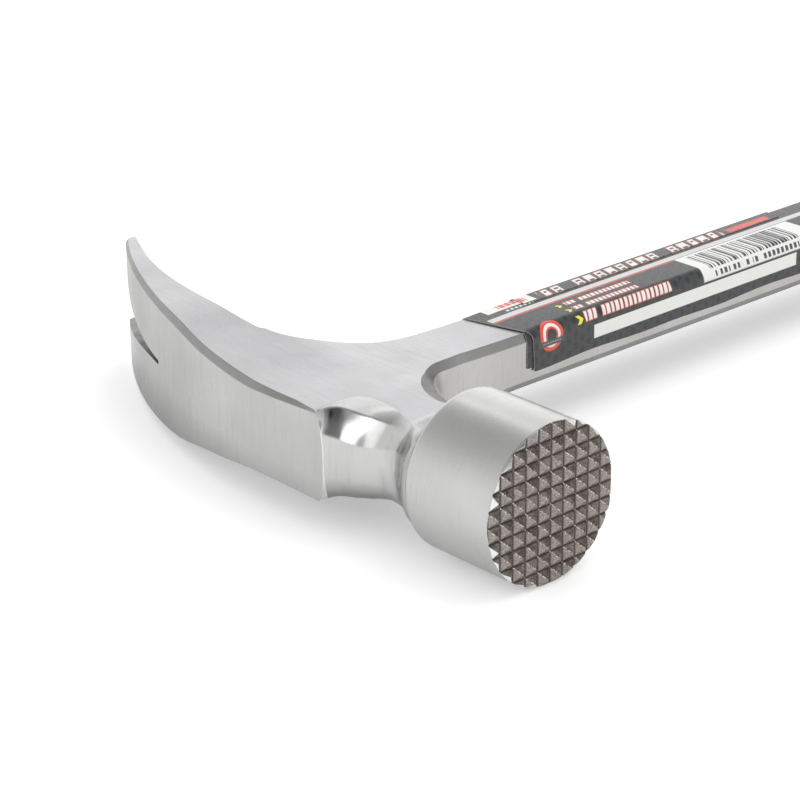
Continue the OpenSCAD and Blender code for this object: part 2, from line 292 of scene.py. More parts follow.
middle_y = curve(
    (RIDGE, -17.6), (16, -16.75), (18, -15.6), (20, -15.0), (22, -14.3), (24, -13.3),
    (27.2, -12.0), (30.8, -12.0), (REAR, -REAR_R),
)

# the ridge bows out towards the poll below the cheek, most of all at the mid plane
bow_above = curve((0, 2.5), (2, 2.45), (5, 2.05), (7, 1.6), (8.8, 0.8), (CHEEK, 0))
bow_below = curve((0, 2.5), (5, 2.45), (8, 2.2), (9.2, 1.5), (CHEEK, 0))


def bowed(points, bow):
    """A strip moved along the head as the ridge bows, fading over the crown and the neck."""
    x = points[0][0]
    share = clamp((x - 6) / 8.4) if x < RIDGE else clamp((24 - x) / 9.6)
    return [(px + bow(z) * share, y, z) for px, y, z in points]


def rise(x):
    """How far the neck has opened out to the round back of the poll."""
    return clamp((x - FLARE) / (REAR - FLARE)) ** 1.7


def rounded(y, z, x):
    """A point of the neck, drawn onto the poll's round back as it nears it."""
    t, r = rise(x), sqrt(y * y + z * z)
    k = mix(1, REAR_R / max(r, 1), t)
    return y * k, z * k


# half of the shank's thickness, thinning from the cheek down
stem_t = curve(
    (-2, CHEEK), (6, 9.15), (12, 8.3), (18, 7.45), (24, 6.85), (30, 6.5), (38, 6.3), (45, 6.2),
)


def top_z(x, y):
    """Height of the upper surface over the cheek, claws, root and shank."""
    fade = clamp((y - 1) / 20) * clamp((x + 30) / 8)
    side = clamp((x - ROOT_BACK) / 7) if x < 0 else clamp((ROOT_FRONT - x) / 8.4)
    return CHEEK + (half_z(x) - CHEEK) * (1 - smooth(fade)) - (CHEEK - stem_t(y)) * smooth(side)


def span(a, b, n):
    """Even steps from a to b, both included."""
    return [mix(a, b, i / n) for i in range(n + 1)]


# columns along the head: claws, the slot's root, the shank's root with the ridge, and neck
claw_x = span(CLAW_TIP, BLUNT, 5)[:-1] + span(BLUNT, -46, 34)[:-1] + [-46, -45.7, -45.35, -45.1]
claw_x += span(SLOT_ROOT, -37, 7)[:-1] + [-36.9] + span(-36.5, ROOT_BACK, 14)
root_x = span(ROOT_BACK, RIDGE, 36)[1:]
root_x += [14.46, 14.6, 14.9, 15.3, 15.8, 16.4, 17, 17.8, 18.6, ROOT_FRONT]
neck_x = span(ROOT_FRONT, FLARE, 16)[1:] + span(FLARE, REAR, 10)[1:]
columns = claw_x + root_x + neck_x
claws, roots, necks = len(claw_x), len(root_x), len(neck_x)
ROWS = [4, 5, 4]


def ladder(points):
    """Points down a strip: the given corners with even steps between them."""
    out = []
    for (p, q), n in zip(zip(points, points[1:]), ROWS):
        out += [tuple(mix(s, t, i / n) for s, t in zip(p, q)) for i in range(n)]
    return out + [points[-1]]


def crown_strip(x, below=False):
    """From the cheek's edge over the crown's bevel, or the neck's facets, to the mid plane.

    Below the mid plane the bevel is narrower, and the neck is round in place of its second facet.
    """
    if x <= RIDGE:
        slope = 0 if x >= 0 else -x / sqrt(CROWN_SWEEP ** 2 - x * x)
        n = Vector((-slope, -1)).normalized()
        w, y, g = half_z(x), crown(x), slot(x)
        top = w - min(bevel_drop(x), (w - g) / 3) * (0.45 if below else 1)
        wide = mix(0.5, 1.05, clamp((x - CLAW_TIP) / 30)) * clamp((16.5 - x) / 8)
        inner = (x - n.x * wide, y - n.y * wide, w)
        if x <= CLAW_TIP + 0.01:
            inner = (x, y + wide, w)
        return ladder([inner, (x, y, top), (x, y, mix(g, top, 0.5)), (x, y, g)])
    upper, lower = (x, upper_y(x), upper_z(x)), (x, lower_y(x), lower_z(x))
    points = ladder([(x, cheek_y(x), CHEEK), upper, lower, (x, middle_y(x), 0)])
    if below:
        a, n = Vector(upper), Vector(points[-1])
        pull = Vector((x, lower_y(x), lower_z(x) + 3.4))
        steps = ROWS[1] + ROWS[2]
        for k in range(1, steps):
            t = k / steps
            points[ROWS[0] + k] = tuple(a.lerp(pull, t).lerp(pull.lerp(n, t), t))
    return [(x, *rounded(y, z, x)) for x, y, z in points]


def strip(inner, outward, offsets, heights):
    """Points down an edge, each set off from the upper surface's edge in plan."""
    corners = []
    for offset, z in zip(offsets, heights):
        corners.append((inner[0] + outward[0] * offset, inner[1] + outward[1] * offset, z))
    return ladder(corners)


def normals(path, flip):
    """Directions in plan across a path, to its one side or the other."""
    out = []
    for i in range(len(path)):
        p, q = path[max(i - 1, 0)], path[min(i + 1, len(path) - 1)]
        d = Vector((q[0] - p[0], q[1] - p[1])).normalized()
        out.append((-d.y, d.x) if flip else (d.y, -d.x))
    return out


# the shank: half of its flat and its bevel, where it runs straight, and its end in the grip
FLAT_X, BEVEL, BEVEL_DROP, STRAIGHT, SHANK_END = 7.15, 1.25, 1.8, 28.2, 228.0
shank_y = [STRAIGHT, 30, 32.5, 36, 40, 45] + span(50, SHANK_END, 44)

# plan of the sweep from claws to shank, and of the fillet from neck to shank
BEND = 20
sweep = []
for i in range(BEND + 1):
    a = radians(90 - 90 * i / BEND)
    x = -FLAT_X - 14.75 * (1 - cos(a))
    y = STRAIGHT - 27.6 * sin(a) + 0.147 * (x - ROOT_BACK) * (1 - i / BEND) ** 2
    sweep.append((x, y))
fillet_x = curve((0, ROOT_FRONT), (0.2, 16.6), (0.4, 13.9), (0.6, 10.9), (0.8, 8.5), (1, FLAT_X))
fillet_y = curve((0, 6.3), (0.2, 8.9), (0.4, 12.1), (0.6, 15.7), (0.8, 20.2), (1, STRAIGHT))
fillet = [(fillet_x(i / BEND), fillet_y(i / BEND)) for i in range(BEND + 1)]


def back_bevel(x):
    """Width in plan of the bevel along the claws' inner edge."""
    return mix(0.3, 1.0, clamp((x - CLAW_TIP) / 14))


# back edge, from the claw tip to the end of the shank
back_in = [(x, under(x) - back_bevel(x)) for x in claw_x[:-1]]
back_in += sweep + [(-FLAT_X, y) for y in shank_y[1:]]
back_strip = []
for i, (p, n) in enumerate(zip(back_in, normals(back_in, True))):
    on_claw = i < claws - 1
    z, g = top_z(*p), slot(p[0]) if on_claw else 0
    t = clamp((i - claws + 1) / 18)
    wide = back_bevel(p[0]) if on_claw else mix(1.0, BEVEL, t)
    drop = min(mix(max(wide, 0.6), BEVEL_DROP, t), (z - g) / 3)
    if i == 0:
        n = (0, 1)
    back_strip.append(strip(p, n, (0, wide, wide, wide), (z, z - drop, mix(g, z - drop, 0.5), g)))

# front edge, from the poll back along the neck, round the fillet and down the shank
handle_side_y = curve((ROOT_FRONT, 6.3), (23, 4.3), (28, 3.2), (32.6, 4.6), (REAR, 9.0))
front_in = [(x, handle_side_y(x)) for x in reversed(neck_x)]
front_in += fillet + [(FLAT_X, y) for y in shank_y[1:]]
front_strip = []
for i, (p, n) in enumerate(zip(front_in, normals(front_in, False))):
    x, y = p
    z = top_z(x, y)
    t = smooth(clamp((i - necks + 4) / (len(fillet) + 2)))
    n = Vector(n).lerp(Vector((0, 1)), clamp((x - ROOT_FRONT) / 4)).normalized()
    offsets = [0, mix(3.0, BEVEL, t), mix(7.6, BEVEL, t), mix(8.2, BEVEL, t)]
    heights = [z, z - mix(1.2, BEVEL_DROP, t), mix(3.3, (z - BEVEL_DROP) / 2, t), 0]
    points = strip(p, n, offsets, heights)
    if x > ROOT_FRONT + 0.1:
        points = [(x, *rounded(y, z, x)) for x, y, z in points]
    front_strip.append(points)

# the head's upper surface, whose lower edge over the root is the line that the shank hangs from
crowns = [bowed(crown_strip(x), bow_above) for x in columns]
crowns_below = [bowed(crown_strip(x, below=True), bow_below) for x in columns]
seam_y = curve(
    (ROOT_BACK, 0.0), (-20.5, -2.2), (-17, -4.2), (-10, -5), (8, -4.2), (RIDGE, -1.0),
    (17, 2.6), (ROOT_FRONT, 6.3),
)
foot_line = [points[0] for points in back_strip[:claws]]
foot_line += [(x, seam_y(x), top_z(x, seam_y(x))) for x in root_x[:-1]]
foot_line += [points[0] for points in reversed(front_strip[: necks + 1])]
ACROSS = 8
head_top = []
for x, strip_down, foot in zip(columns, crowns, foot_line):
    top, column = strip_down[0], []
    for j in range(ACROSS + 1):
        t = j / ACROSS
        px, py = mix(top[0], foot[0], t), mix(top[1], foot[1], t)
        z = top_z(px, py)
        if px > RIDGE:
            z = mix(z, sqrt(REAR_R ** 2 - py * py), rise(px))
        column.append((px, py, z))
    column[0], column[-1] = top, foot
    head_top.append(column)

# the root and shank's upper surface between its two edges
seam = foot_line[claws - 1: claws + roots]
root_width = ROOT_FRONT - ROOT_BACK
ends = [((x - ROOT_BACK) / root_width - 0.5) * 2 * FLAT_X for x in [ROOT_BACK] + root_x]
stem_top = []
for j, (a, b) in enumerate(zip(back_in[claws - 1:], front_in[necks:])):
    v = min(j / BEND, 1)
    row = []
    for s, e in zip(seam, ends):
        u = (e / FLAT_X + 1) / 2
        x, y = e, a[1]
        if j < BEND:
            first, last = seam[0], seam[-1]
            x = mix(s[0], e, v) + mix(a[0], b[0], u) - mix(mix(first[0], last[0], u), e, v)
            y = mix(s[1], STRAIGHT, v) + mix(a[1], b[1], u)
            y -= mix(mix(first[1], last[1], u), STRAIGHT, v)
        row.append((x, y, top_z(x, y)))
    stem_top.append(row)


def patch(bm, rows, finish=0, below=None):
    """Quads over a grid of points, with the same or another grid mirrored below the mid plane."""
    for side, half in ((1, rows), (-1, below or rows)):
        grid = [[bm.verts.new(at(x, y, z * side)) for x, y, z in row] for row in half]
        for a, b in zip(grid, grid[1:]):
            for i in range(len(a) - 1):
                corners = [a[i], a[i + 1], b[i + 1], b[i]]
                f = bm.faces.new(corners if side > 0 else reversed(corners))
                f.material_index = finish


def lid(bm, points, below=None):
    """One face over a closed line of points, and its mirror below the mid plane."""
    for side, half in ((1, points), (-1, below or points)):
        bm.faces.new([bm.verts.new(at(x, y, z * side)) for x, y, z in half])


def finished(bm, name, sharp=28, join=1e-5):
    """The mesh as a piece: doubles joined, faces outwards, and hard edges kept hard."""
    bmesh.ops.remove_doubles(bm, verts=bm.verts, dist=join)
    bmesh.ops.dissolve_degenerate(bm, edges=bm.edges, dist=join / 10)
    bmesh.ops.recalc_face_normals(bm, faces=bm.faces)
    for f in bm.faces:
        f.smooth = True
    for e in bm.edges:
        e.smooth = len(e.link_faces) == 2 and e.calc_face_angle() < radians(sharp)
    mesh = bpy.data.meshes.new(name)
    bm.to_mesh(mesh)
    bm.free()
    piece = bpy.data.objects.new(name, mesh)
    bpy.context.scene.collection.objects.link(piece)
    return piece


# finishes, in the order in which the forging carries them; the bevels and the slot's walls are the
# steel darkened as painted shade, and the ridge and rim steel is lightened as a painted highlight
GROUND, CROWNED, MIRROR, BELTED, SHADED_BEVEL, SLOT_SHADE, HIGHLIT = range(7)
EDGE_ROWS = ROWS[0]


def edge_of(strips):
    return [points[: EDGE_ROWS + 1] for points in strips]


def wall_of(strips):
    return [points[EDGE_ROWS:] for points in strips]


bm = bmesh.new()
patch(bm, head_top)
scoop = min(range(len(columns)), key=lambda i: abs(columns[i] - RIDGE))
claw_side, claw_below = crowns[: scoop + 1], crowns_below[: scoop + 1]
patch(bm, edge_of(claw_side), SHADED_BEVEL, edge_of(claw_below))
patch(bm, wall_of(claw_side), CROWNED, wall_of(claw_below))
# the neck's ridge strip takes polished steel lightened as a painted highlight
patch(bm, crowns[scoop: scoop + 3], HIGHLIT, crowns_below[scoop: scoop + 3])
patch(bm, crowns[scoop + 2:], MIRROR, crowns_below[scoop + 2:])
patch(bm, back_strip[:claws])
patch(bm, back_strip[claws - 1:], BELTED)
patch(bm, edge_of(front_strip), SHADED_BEVEL)
patch(bm, wall_of(front_strip), BELTED)
patch(bm, stem_top)
walls = []
for x, outer, inner in zip(columns, crowns, back_strip):
    if x <= SLOT_ROOT:
        pairs = list(zip(outer[-1], inner[-1]))
        walls.append([tuple(mix(p, q, j / 4) for p, q in pairs) for j in range(5)])
# the nail slot's walls take the steel darkened as painted shade
patch(bm, walls, SLOT_SHADE)
tip = head_top[0] + back_strip[0][1:] + walls[0][-2::-1]
lid(bm, tip + crowns[0][-2:0:-1], tip + crowns_below[0][-2:0:-1])
poll_end = head_top[-1] + front_strip[0][1:]
lid(bm, poll_end + crowns[-1][:0:-1], poll_end + crowns_below[-1][:0:-1])
lid(bm, stem_top[-1] + front_strip[-1][1:] + back_strip[-1][:0:-1])
forging = finished(bm, "hammer_forging", sharp=20)
for finish in (
    steel("ground_cheek", (0.54, 0.54, 0.55), 0.28, (160, 1400, 700), 1e-7, scratch=0.1),
    # the crown's steel is darkened towards the claw tips and towards the bottom, as painted shade
    steel("ground_crown", (0.575, 0.572, 0.565), 0.3, (1800, 1800, 90), 1.5e-6,
          painted_shade_spot=(at(-84, -8, 0), 0.024, 0.07, 0.4), low=(0.003, 0.012, 0.4)),
    # the scoop's steel is darkened near where the neck meets the poll and towards the bottom, as
    # painted shade
    steel("mirror_scoop", (0.66, 0.66, 0.655), 0.19, (900, 900, 90), 8e-7, edge=0.0008,
          painted_shade_spot=(at(36.5, -13, 4), 0.002, 0.009, 0.5), low=(0.0085, 0.0125, 0.6)),
    steel("belted_shank", (0.56, 0.545, 0.53), 0.3, (1900, 1900, 90), 2.5e-6),
    # the bevels are the same steel made darker as painted shade, and darker still in the fillet by
    # the neck
    steel("bevel_shaded", (0.37, 0.37, 0.365), 0.34, (500, 1500, 1500), 1.5e-6, edge=0.0005,
          painted_shade_spot=(at(15, 9, 8), 0.008, 0.022, 0.85)),
    # the nail slot's walls: the steel darkened as painted shade
    steel("slot_wall_shaded", (0.2, 0.195, 0.19), 0.4, (300, 300, 1500), 1.5e-6),
    # the ridge and the face's rim chamfer: polished steel, lightened as a painted highlight
    steel("highlit_rim", (0.93, 0.93, 0.92), 0.3, (900, 900, 900), 1e-6),
):
    forging.data.materials.append(finish)
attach(forging, "root")

# the poll is turned: a bevelled back, and a plain barrel that ends at the foot of the teeth
TEETH_FOOT = 61.65


def turned(bm, profile, steps):
    """A profile of (x, radius) turned about the head's axis."""
    rings = []
    for i in range(steps):
        a = 2 * pi * i / steps
        rings.append([bm.verts.new(at(x, r * cos(a), r * sin(a))) for x, r in profile])
    for a, b in zip(rings, rings[1:] + rings[:1]):
        for i in range(len(profile) - 1):
            if profile[i][1] > 0 or profile[i + 1][1] > 0:
                bm.faces.new([a[i], a[i + 1], b[i + 1], b[i]])


bm = bmesh.new()
back = [(38.2, 0), (38.2, 8), (38.2, 14.9), (38.35, 15.3), (38.75, 15.85), (39.15, 16.25)]
back += [(39.6, 16.46), (40.1, POLL_R)]
barrel = [(x, POLL_R) for x in (42, 46, 50, 54, 58, 60.5)]
turned(bm, back + barrel + [(TEETH_FOOT, r) for r in (POLL_R, 12, 6, 0)], 144)
poll = finished(bm, "hammer_poll", sharp=35)
turned_steel = steel("turned_poll", (0.61, 0.61, 0.6), 0.25, (2600, 90, 90), 2.5e-6, scratch=0.3)
poll.data.materials.append(turned_steel)
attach(poll, "root")

# the milled face: one blunt pyramid repeated over a square field and trimmed to the round face
sizes = dict(pitch=0.0033, depth=0.00125, land=0.0001, rim=0.01648, chamfer=0.00095, teeth=10)

# each tooth carries patchy painted shade on the half of its facets that face up and towards the
# handle, painted shade in its grooves, and a painted highlight in spots along its crest
milled, tree, place, surface = shader("milled_face", Metallic=1.0)
from_axis = add(tree, "ShaderNodeVectorMath", place, tuple(at(0, 0, 0)), operation="SUBTRACT")
where = add(tree, "ShaderNodeSeparateXYZ", from_axis).node.outputs
sides = [calc(tree, "FRACT", calc(tree, "DIVIDE", where[i], sizes["pitch"])) for i in ("Y", "Z")]
rims = [calc(tree, "PINGPONG", side, 0.5) for side in sides]
across = calc(tree, "ADD", *sides)
grit = noise(tree, place, 3400, 4)
patchy = ramp(tree, noise(tree, place, 420, 2), 0.38, 0.6, 0.25, 1.0)
grain = ramp(tree, grit, 0.35, 0.65)
tone = blend(tree, grain, (0.25, 0.215, 0.195), (0.5, 0.455, 0.42))
# painted shade: a darker copy of the tooth's colour for its facets that face up and towards the
# handle
shaded_half = blend(tree, grain, (0.07, 0.06, 0.052), (0.26, 0.225, 0.205))
half_shade_share = calc(tree, "MULTIPLY", ramp(tree, across, 0.98, 1.04), patchy)
tone = blend(tree, half_shade_share, tone, shaded_half)
# painted shade in the grooves between the teeth
groove_shade = ramp(tree, calc(tree, "MINIMUM", *rims), 0.03, 0.1, 0.8, 0.0)
tone = blend(tree, groove_shade, tone, (0.05, 0.045, 0.04))
off_crest = calc(tree, "ABSOLUTE", calc(tree, "SUBTRACT", across, 1))
# painted highlight: pale spots along each tooth's crest
glint_spots = calc(tree, "MULTIPLY", ramp(tree, grit, 0.5, 0.56), ramp(tree, sides[1], 0.4, 0.6))
crest_highlight = calc(tree, "MULTIPLY", ramp(tree, off_crest, 0.03, 0.07, 1.0, 0.0), glint_spots)
tone = blend(tree, crest_highlight, tone, (0.85, 0.82, 0.78))
tree.links.new(tone, surface.inputs["Base Color"])
tree.links.new(ramp(tree, grit, 0.2, 0.8, 0.42, 0.62), surface.inputs["Roughness"])
tree.links.new(add(tree, "ShaderNodeBump", 1.0, 4e-5, None, grit), surface.inputs["Normal"])

# a tooth stands on a short stub, so that the field is solid where the rim cuts it
STUB = 0.0005
highlit_rim = forging.data.materials[HIGHLIT]
tree, given = sockets("milled teeth", **sizes)
pitch, depth, rim, cut, teeth = (given[k] for k in ("pitch", "depth", "rim", "chamfer", "teeth"))
foot = calc(tree, "MULTIPLY", pitch, 0.999 * sqrt(0.5))
tip = calc(tree, "MULTIPLY", given["land"], sqrt(0.5))
stub = add(tree, "GeometryNodeMeshCone", 4, 1, 1, foot, foot, STUB)
stub = add(tree, "GeometryNodeTransform", stub, (0, 0, -STUB))
tooth = add(tree, "GeometryNodeMeshCone", 4, 1, 1, tip, foot, depth)
tooth = add(tree, "GeometryNodeJoinGeometry", tooth)
tree.links.new(stub, tooth.node.inputs[0])
tooth = add(tree, "GeometryNodeTransform", tooth, None, (0, 0, pi / 4))
tooth = add(tree, "GeometryNodeSetMaterial", tooth, True, milled)
width = calc(tree, "MULTIPLY", pitch, calc(tree, "SUBTRACT", teeth, 1))
places = add(tree, "GeometryNodeMeshGrid", width, width, teeth, teeth)
places = add(tree, "GeometryNodeMeshToPoints", places)
field = add(tree, "GeometryNodeInstanceOnPoints", places, True, tooth)
field = add(tree, "GeometryNodeRealizeInstances", field)
barrel = add(tree, "GeometryNodeMeshCylinder", 144, 1, 1, rim, 0.006)
barrel = add(tree, "GeometryNodeSetMaterial", barrel, True, turned_steel)
twice_cut = calc(tree, "MULTIPLY", cut, 2)
narrow, broad = calc(tree, "SUBTRACT", rim, twice_cut), calc(tree, "ADD", rim, cut)
cone = add(tree, "GeometryNodeMeshCone", 144, 1, 1, narrow, broad, calc(tree, "MULTIPLY", cut, 3))
lift = add(tree, "ShaderNodeCombineXYZ", None, None, calc(tree, "SUBTRACT", depth, twice_cut))
cone = add(tree, "GeometryNodeTransform", cone, lift)
# the rim chamfer is cut in the steel lightened as a painted highlight
cone = add(tree, "GeometryNodeSetMaterial", cone, True, highlit_rim)
trim = add(tree, "GeometryNodeMeshBoolean", None, field, operation="INTERSECT", solver="EXACT")
tree.links.new(barrel, trim.node.inputs[1])
tree.links.new(cone, trim.node.inputs[1])
seat = tuple(at(TEETH_FOOT, 0, 0))
field = add(tree, "GeometryNodeTransform", trim, seat, (0, pi / 2, 0))
field = add(tree, "GeometryNodeRealizeInstances", field)
steel_share = [add(tree, "GeometryNodeMaterialSelection", m) for m in (turned_steel, highlit_rim)]
cut_by_tooth = calc(tree, "SUBTRACT", 1, calc(tree, "ADD", *steel_share))
field = add(tree, "GeometryNodeSetMaterial", field, cut_by_tooth, milled)
tree.links.new(field, tree.nodes.new("NodeGroupOutput").inputs[0])
face = grown(tree, "hammer_face", **sizes)
face.data.shade_flat()
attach(face, "root")


def skinned(bm, loops):
    """Quads from loop to loop of as many points each, closed at both ends."""
    for p, q in zip(loops, loops[1:]):
        for i in range(len(p)):
            j = (i + 1) % len(p)
            bm.faces.new([p[i], p[j], q[j], q[i]])
    bm.faces.new(loops[0])
    bm.faces.new(loops[-1])


# the tang, which the grip hides, runs on from the shank inside the moulded core:
# its stations as (place, half width, half thickness, bevel)
bm = bmesh.new()
loops = []
for y, a, t, c in (
    (222, 8.4, 5.9, 1.2), (226, 8.4, 5.9, 1.2), (232.5, 6.5, 3.6, 0.9), (376, 6.5, 3.6, 0.9),
):
    shape = [(-a, t - c), (-a + c, t), (a - c, t), (a, t - c)]
    shape += [(a, c - t), (a - c, -t), (c - a, -t), (-a, c - t)]
    loops.append([bm.verts.new(at(x, y, z)) for x, z in shape])
skinned(bm, loops)
tang = finished(bm, "hammer_tang")
tang.data.materials.append(forging.data.materials[BELTED])
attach(tang, "root")
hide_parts("forging")


# ---- Grip core ----------------------------------------------------------
# Hard moulded nylon, shot round the tang and through its holes, which lock it.
# The soft grip hides it, so its plain solid is shown as it is.

nylon, tree, place, surface = shader("nylon_core", Roughness=0.42)
speckle = noise(tree, place, 900, 4)
tone = blend(tree, ramp(tree, speckle, 0.4, 0.7), (0.03, 0.03, 0.032), (0.06, 0.06, 0.064))
tree.links.new(tone, surface.inputs["Base Color"])
tree.links.new(add(tree, "ShaderNodeBump", 1.0, 3e-5, None, speckle), surface.inputs["Normal"])
for entry in bpy.data.objects["grip_core"].material_slots:
    entry.material = nylon


# ---- Grip sleeve --------------------------------------------------------
# Soft black vinyl moulded over the core in one shot: a collar at the throat,
# fourteen grooves that fade on the broad sides, and a flared, hooked butt.

GRIP_START, GRIP_END, LIP, BUTT_ROUND = 222.0, 388.0, 0.9, 3
GROOVES, GROOVE_W, GROOVE_D, SIDES = 14, 2.4, 0.8, 96
KEYS = (0, 0.025, 0.07, 0.46, 0.76, 0.94, 1)


def eased(values):
    """Sizes along the grip, easing from one key to the next."""
    def f(t):
        i = max(k for k in range(len(KEYS) - 1) if KEYS[k] <= t or k == 0)
        s = clamp((t - KEYS[i]) / (KEYS[i + 1] - KEYS[i]))
        return mix(values[i], values[i + 1], smooth(s))

    return f


wide = eased((11.8, 13.4, 12.6, 16.4, 14.96, 18.8, 16.4))
deep = eased((9.6, 11.2, 10.4, 13.2, 12.14, 14.6, 12.2))
hook = eased((0, 0, 0, 0, 0, 2.4, 2.4))
grooves = [mix(GRIP_START, GRIP_END, t) for t in span(0.16, 0.84, GROOVES - 1)]


def grip_ring(y, inset=0.0, size=None):
    """A squared-off oval across the grip, which the grooves cut at its edges."""
    t = (y - GRIP_START) / (GRIP_END - GRIP_START)
    near = min(abs(y - g) for g in grooves)
    cut = cos(pi / 2 * min(1, near / (GROOVE_W / 2))) ** 1.5
    a, b = size or (wide(t) - inset, deep(t) - inset)
    ring = []
    for k in range(SIDES):
        u = 2 * pi * k / SIDES
        c, s = cos(u), sin(u)
        d = 0 if size else cut * GROOVE_D * abs(c) ** 0.5
        c, s = (abs(v) ** 0.78 * (1 if v > 0 else -1) for v in (c, s))
        ring.append(((0 if size else hook(t)) + (a - d) * c, y, (b - d) * s))
    return ring


# the throat and its lip, the grooved length, the butt's corner and its slightly domed end
throat = (7.4, 5.0)
rings = [grip_ring(226, size=throat), grip_ring(222.4, size=throat)]
for degrees in (0, 18, 36, 54, 72, 90):
    a = radians(degrees)
    rings.append(grip_ring(GRIP_START + LIP - LIP * cos(a), LIP - LIP * sin(a)))
stations = {round(v, 3) for v in span(223.2, 384.5, 110)}
stations = {v for v in stations if min(abs(v - g) for g in grooves) > 1.5}
for step in (0, 0.25, 0.5, 0.75, 1.0, 1.2, 1.35):
    stations |= {round(g + o, 3) for g in grooves for o in (-step, step)}
rings += [grip_ring(y) for y in sorted(stations)]
for degrees in (0, 12, 24, 36, 48, 60, 72, 82, 90):
    a = radians(degrees)
    inset = BUTT_ROUND - BUTT_ROUND * cos(a)
    rings.append(grip_ring(GRIP_END - BUTT_ROUND + BUTT_ROUND * sin(a), inset))
rim = rings[-1]
for k in (0.9, 0.6, 0.3, 0.05):
    rings.append([(mix(2.4, x, k), GRIP_END - 0.5 * (1 - k), mix(0, z, k)) for x, y, z in rim])
bm = bmesh.new()
skinned(bm, [[bm.verts.new(at(*q)) for q in ring] for ring in rings])
sleeve = finished(bm, "grip_vinyl", sharp=50, join=1e-6)

# a fine stipple, a faint bloom and the mould's seam along both narrow sides
vinyl, tree, place, surface = shader("soft_vinyl", Specular_IOR_Level=0.4)
stipple = noise(tree, place, 2200, 3)
bloom = noise(tree, place, 35, 3)
tone = blend(tree, ramp(tree, bloom, 0.35, 0.7), (0.018, 0.018, 0.019), (0.03, 0.03, 0.031))
tree.links.new(tone, surface.inputs["Base Color"])
tree.links.new(ramp(tree, bloom, 0.3, 0.7, 0.5, 0.62), surface.inputs["Roughness"])
height = add(tree, "ShaderNodeSeparateXYZ", place).node.outputs["Z"]
off_seam = calc(tree, "ABSOLUTE", calc(tree, "SUBTRACT", height, at(0, 0, 0).z))
relief = calc(tree, "ADD", stipple, ramp(tree, off_seam, 0.0001, 0.0004, 3.0, 0.0))
tree.links.new(add(tree, "ShaderNodeBump", 1.0, 3e-5, None, relief), surface.inputs["Normal"])
sleeve.data.materials.append(vinyl)
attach(sleeve, "root")
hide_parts("grip_sleeve")


# ---- Label --------------------------------------------------------------
# A printed card folded round the shank and glued to itself underneath, with a free
# lower edge in front, a lining that shows at the near end and a flap over the far corner.

LABEL_START, LABEL_END = 45.0, 167.0


def folded(corners, radius=0.85):
    """Points along a card's path with its folds drawn as curves, and the length run to each."""
    points = [Vector(corners[0])]
    for p, q, r in zip(corners, corners[1:], corners[2:]):
        p, q, r = Vector(p), Vector(q), Vector(r)
        a = q + (p - q).normalized() * radius
        b = q + (r - q).normalized() * radius
        points += [a.lerp(q, t).lerp(q.lerp(b, t), t) for t in (0, 0.2, 0.4, 0.6, 0.8, 1)]
    points.append(Vector(corners[-1]))
    run = [0.0]
    for p, q in zip(points, points[1:]):
        run.append(run[-1] + (q - p).length)
    return points, run


def card(bm, corners, y0, y1, thick, start=0.0, lift=None, near=None, press=0.0):
    """A thin card along its path from y0 to y1, print outside; its UV is in millimetres.

    Its print starts at a length along the path, its first edge may lift, its near end may be
    cut at a skew, and it may be pressed in there.
    """
    uv = bm.loops.layers.uv.verify()
    points, run = folded(corners)
    out = []
    for i in range(len(points)):
        d = (points[min(i + 1, len(points) - 1)] - points[max(i - 1, 0)]).normalized()
        out.append(Vector((d.y, -d.x)))
    grid = []
    for y in span(y0, y1, 80):
        row = []
        for p, n, r in zip(points, out, run):
            v = start + r
            yy = y + (near(v) * clamp(1 - (y - y0) / 6) if near else 0)
            up = lift(y) * clamp(1 - r / 2.5) if lift else 0
            low = press * clamp((v - 9) / 2) * clamp(1 - (y - y0) / 8)
            printed_at = (yy - LABEL_START, v + up)
            faces = [(p.x + n.x * k, yy, p.y + n.y * k + up) for k in (thick - low, -low)]
            row.append([spot + printed_at for spot in faces])
        grid.append(row)

    def quad(corners, finish):
        f = bm.faces.new([bm.verts.new(at(*c[:3])) for c in corners])
        f.material_index = finish
        for loop, c in zip(f.loops, corners):
            loop[uv].uv = (c[3], c[4])

    for a, b in zip(grid, grid[1:]):
        for i in range(len(points) - 1):
            quad([a[i][0], a[i + 1][0], b[i + 1][0], b[i][0]], 0)
            quad([a[i][1], b[i][1], b[i + 1][1], a[i + 1][1]], 1)
        for i in (0, -1):
            quad([a[i][0], b[i][0], b[i][1], a[i][1]], 1)
    for row in (grid[0], grid[-1]):
        for i in range(len(points) - 1):
            quad([row[i][0], row[i][1], row[i + 1][1], row[i + 1][0]], 1)


def wavy(y):
    """How far the free lower edge in front stands up along the shank."""
    return 0.35 + 0.3 * sin(y / 6.1) * sin(y / 17 + 1)


def skewed(v):
    """How far the near end is set back at a place across the card."""
    corner = 1.4 * clamp((10.4 - v) / 2) + 0.4 * clamp((8 - v) / 8)
    return mix(1.9, -1.6, clamp((v - 10) / 14)) + corner


wrap = [
    (8.7, -2.8), (8.7, 4.7), (7.45, 6.5), (-7.45, 6.5),
    (-8.7, 4.7), (-8.7, -4.7), (-7.45, -6.5), (6.2, -6.5),
]
lining = [(8.48, -1.6), (8.48, 4.5), (7.4, 6.04)]
flap = [(-3.55, 6.8), (-7.75, 6.8), (-9.0, 5.0), (-9.0, 0.8)]
bm = bmesh.new()
card(bm, wrap, LABEL_START, LABEL_END, 0.28, press=0.22, lift=wavy, near=skewed)
card(bm, lining, LABEL_START, 70, 0.16, start=1.2, near=lambda v: 1.8)
card(bm, flap, 58, 142, 0.2, start=21.3)
wrapper = finished(bm, "label_wrap", sharp=50, join=2e-6)

